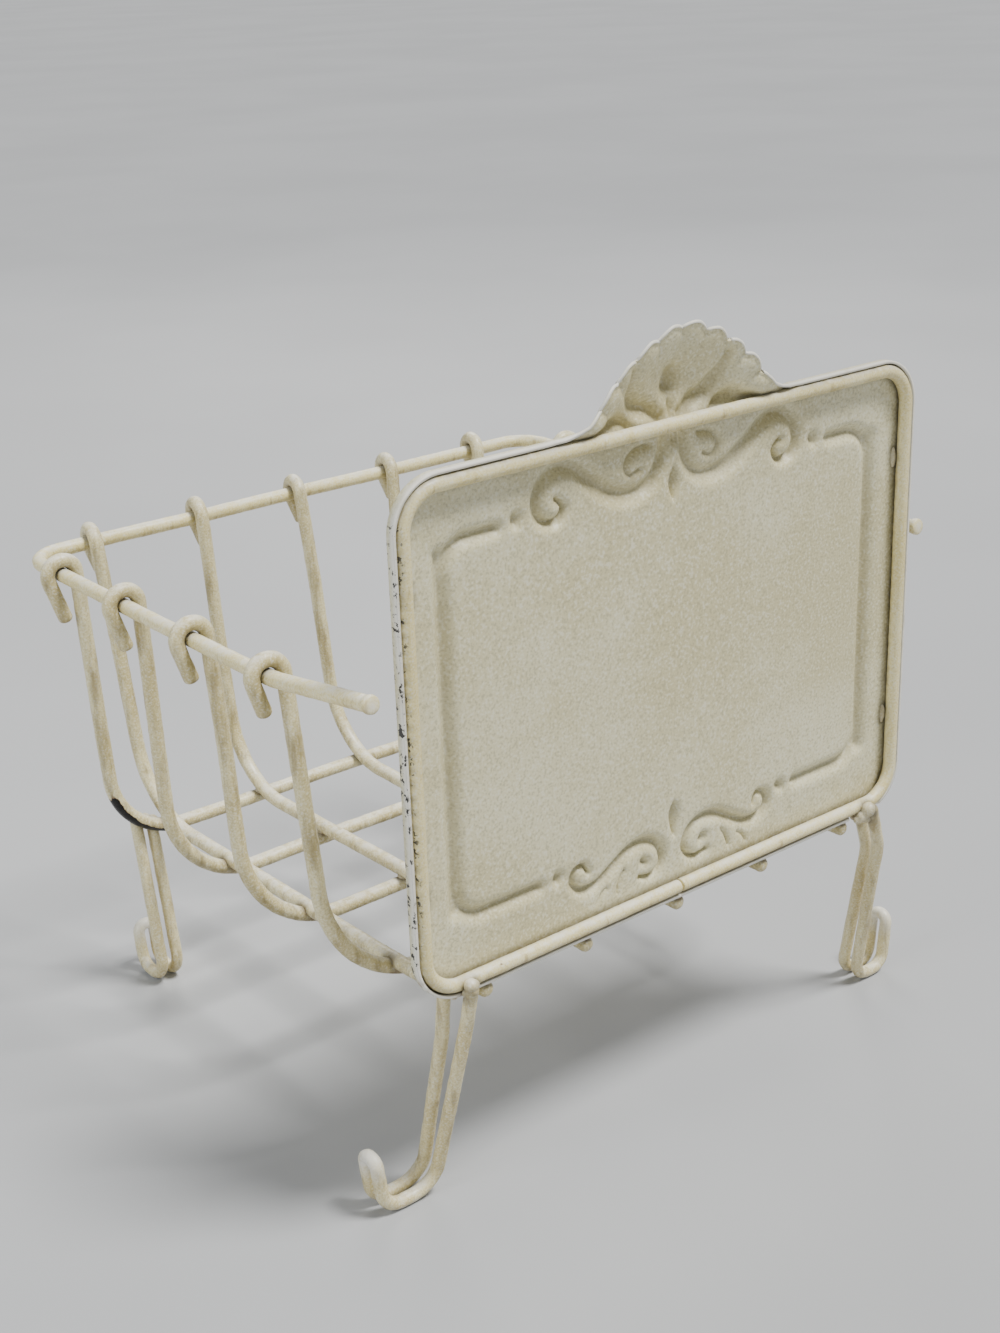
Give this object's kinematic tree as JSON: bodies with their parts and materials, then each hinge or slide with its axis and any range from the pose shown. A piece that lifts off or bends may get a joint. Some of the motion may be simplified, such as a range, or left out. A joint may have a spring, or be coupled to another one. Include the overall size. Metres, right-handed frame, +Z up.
{
  "type": "letter tray",
  "caption": "Low letter tray: an open welded wire basket on hairpin legs with curled feet, backed by an upright pressed metal plate with a round-cornered border and a shell crest.",
  "frame": {"origin": "centre of the bounding box's footprint, on the table that the feet stand on", "axes": "+X across the width, +Y from the low front rail to the upright plate at the back, +Z up"},
  "size_m": [0.1834, 0.1699, 0.2005],
  "materials": {
    "painted_wire": "satin antique cream paint, rubbed lighter on top and dirty in the crevices",
    "painted_sheet": "satin greige paint with a fine orange-peel grain, rubbed pale on the edges",
    "painted_weld": "satin cream paint over rough beads, with brown rust in the corners"
  },
  "bodies": {
    "root": {"plate": "painted_sheet", "frame_wire": "painted_wire", "top_rail": "painted_wire", "cross_rib_1": "painted_wire", "cross_rib_2": "painted_wire", "cross_rib_3": "painted_wire", "cross_rib_4": "painted_wire", "long_rib_1": "painted_wire", "long_rib_2": "painted_wire", "long_rib_3": "painted_wire", "long_rib_4": "painted_wire", "long_rib_5": "painted_wire", "leg_front_left": "painted_wire", "leg_front_right": "painted_wire", "leg_back_left": "painted_wire", "leg_back_right": "painted_wire", "floor_welds": "painted_weld", "frame_welds": "painted_weld", "rib_end_welds": "painted_weld", "leg_welds": "painted_weld"}
  },
  "joints": []
}
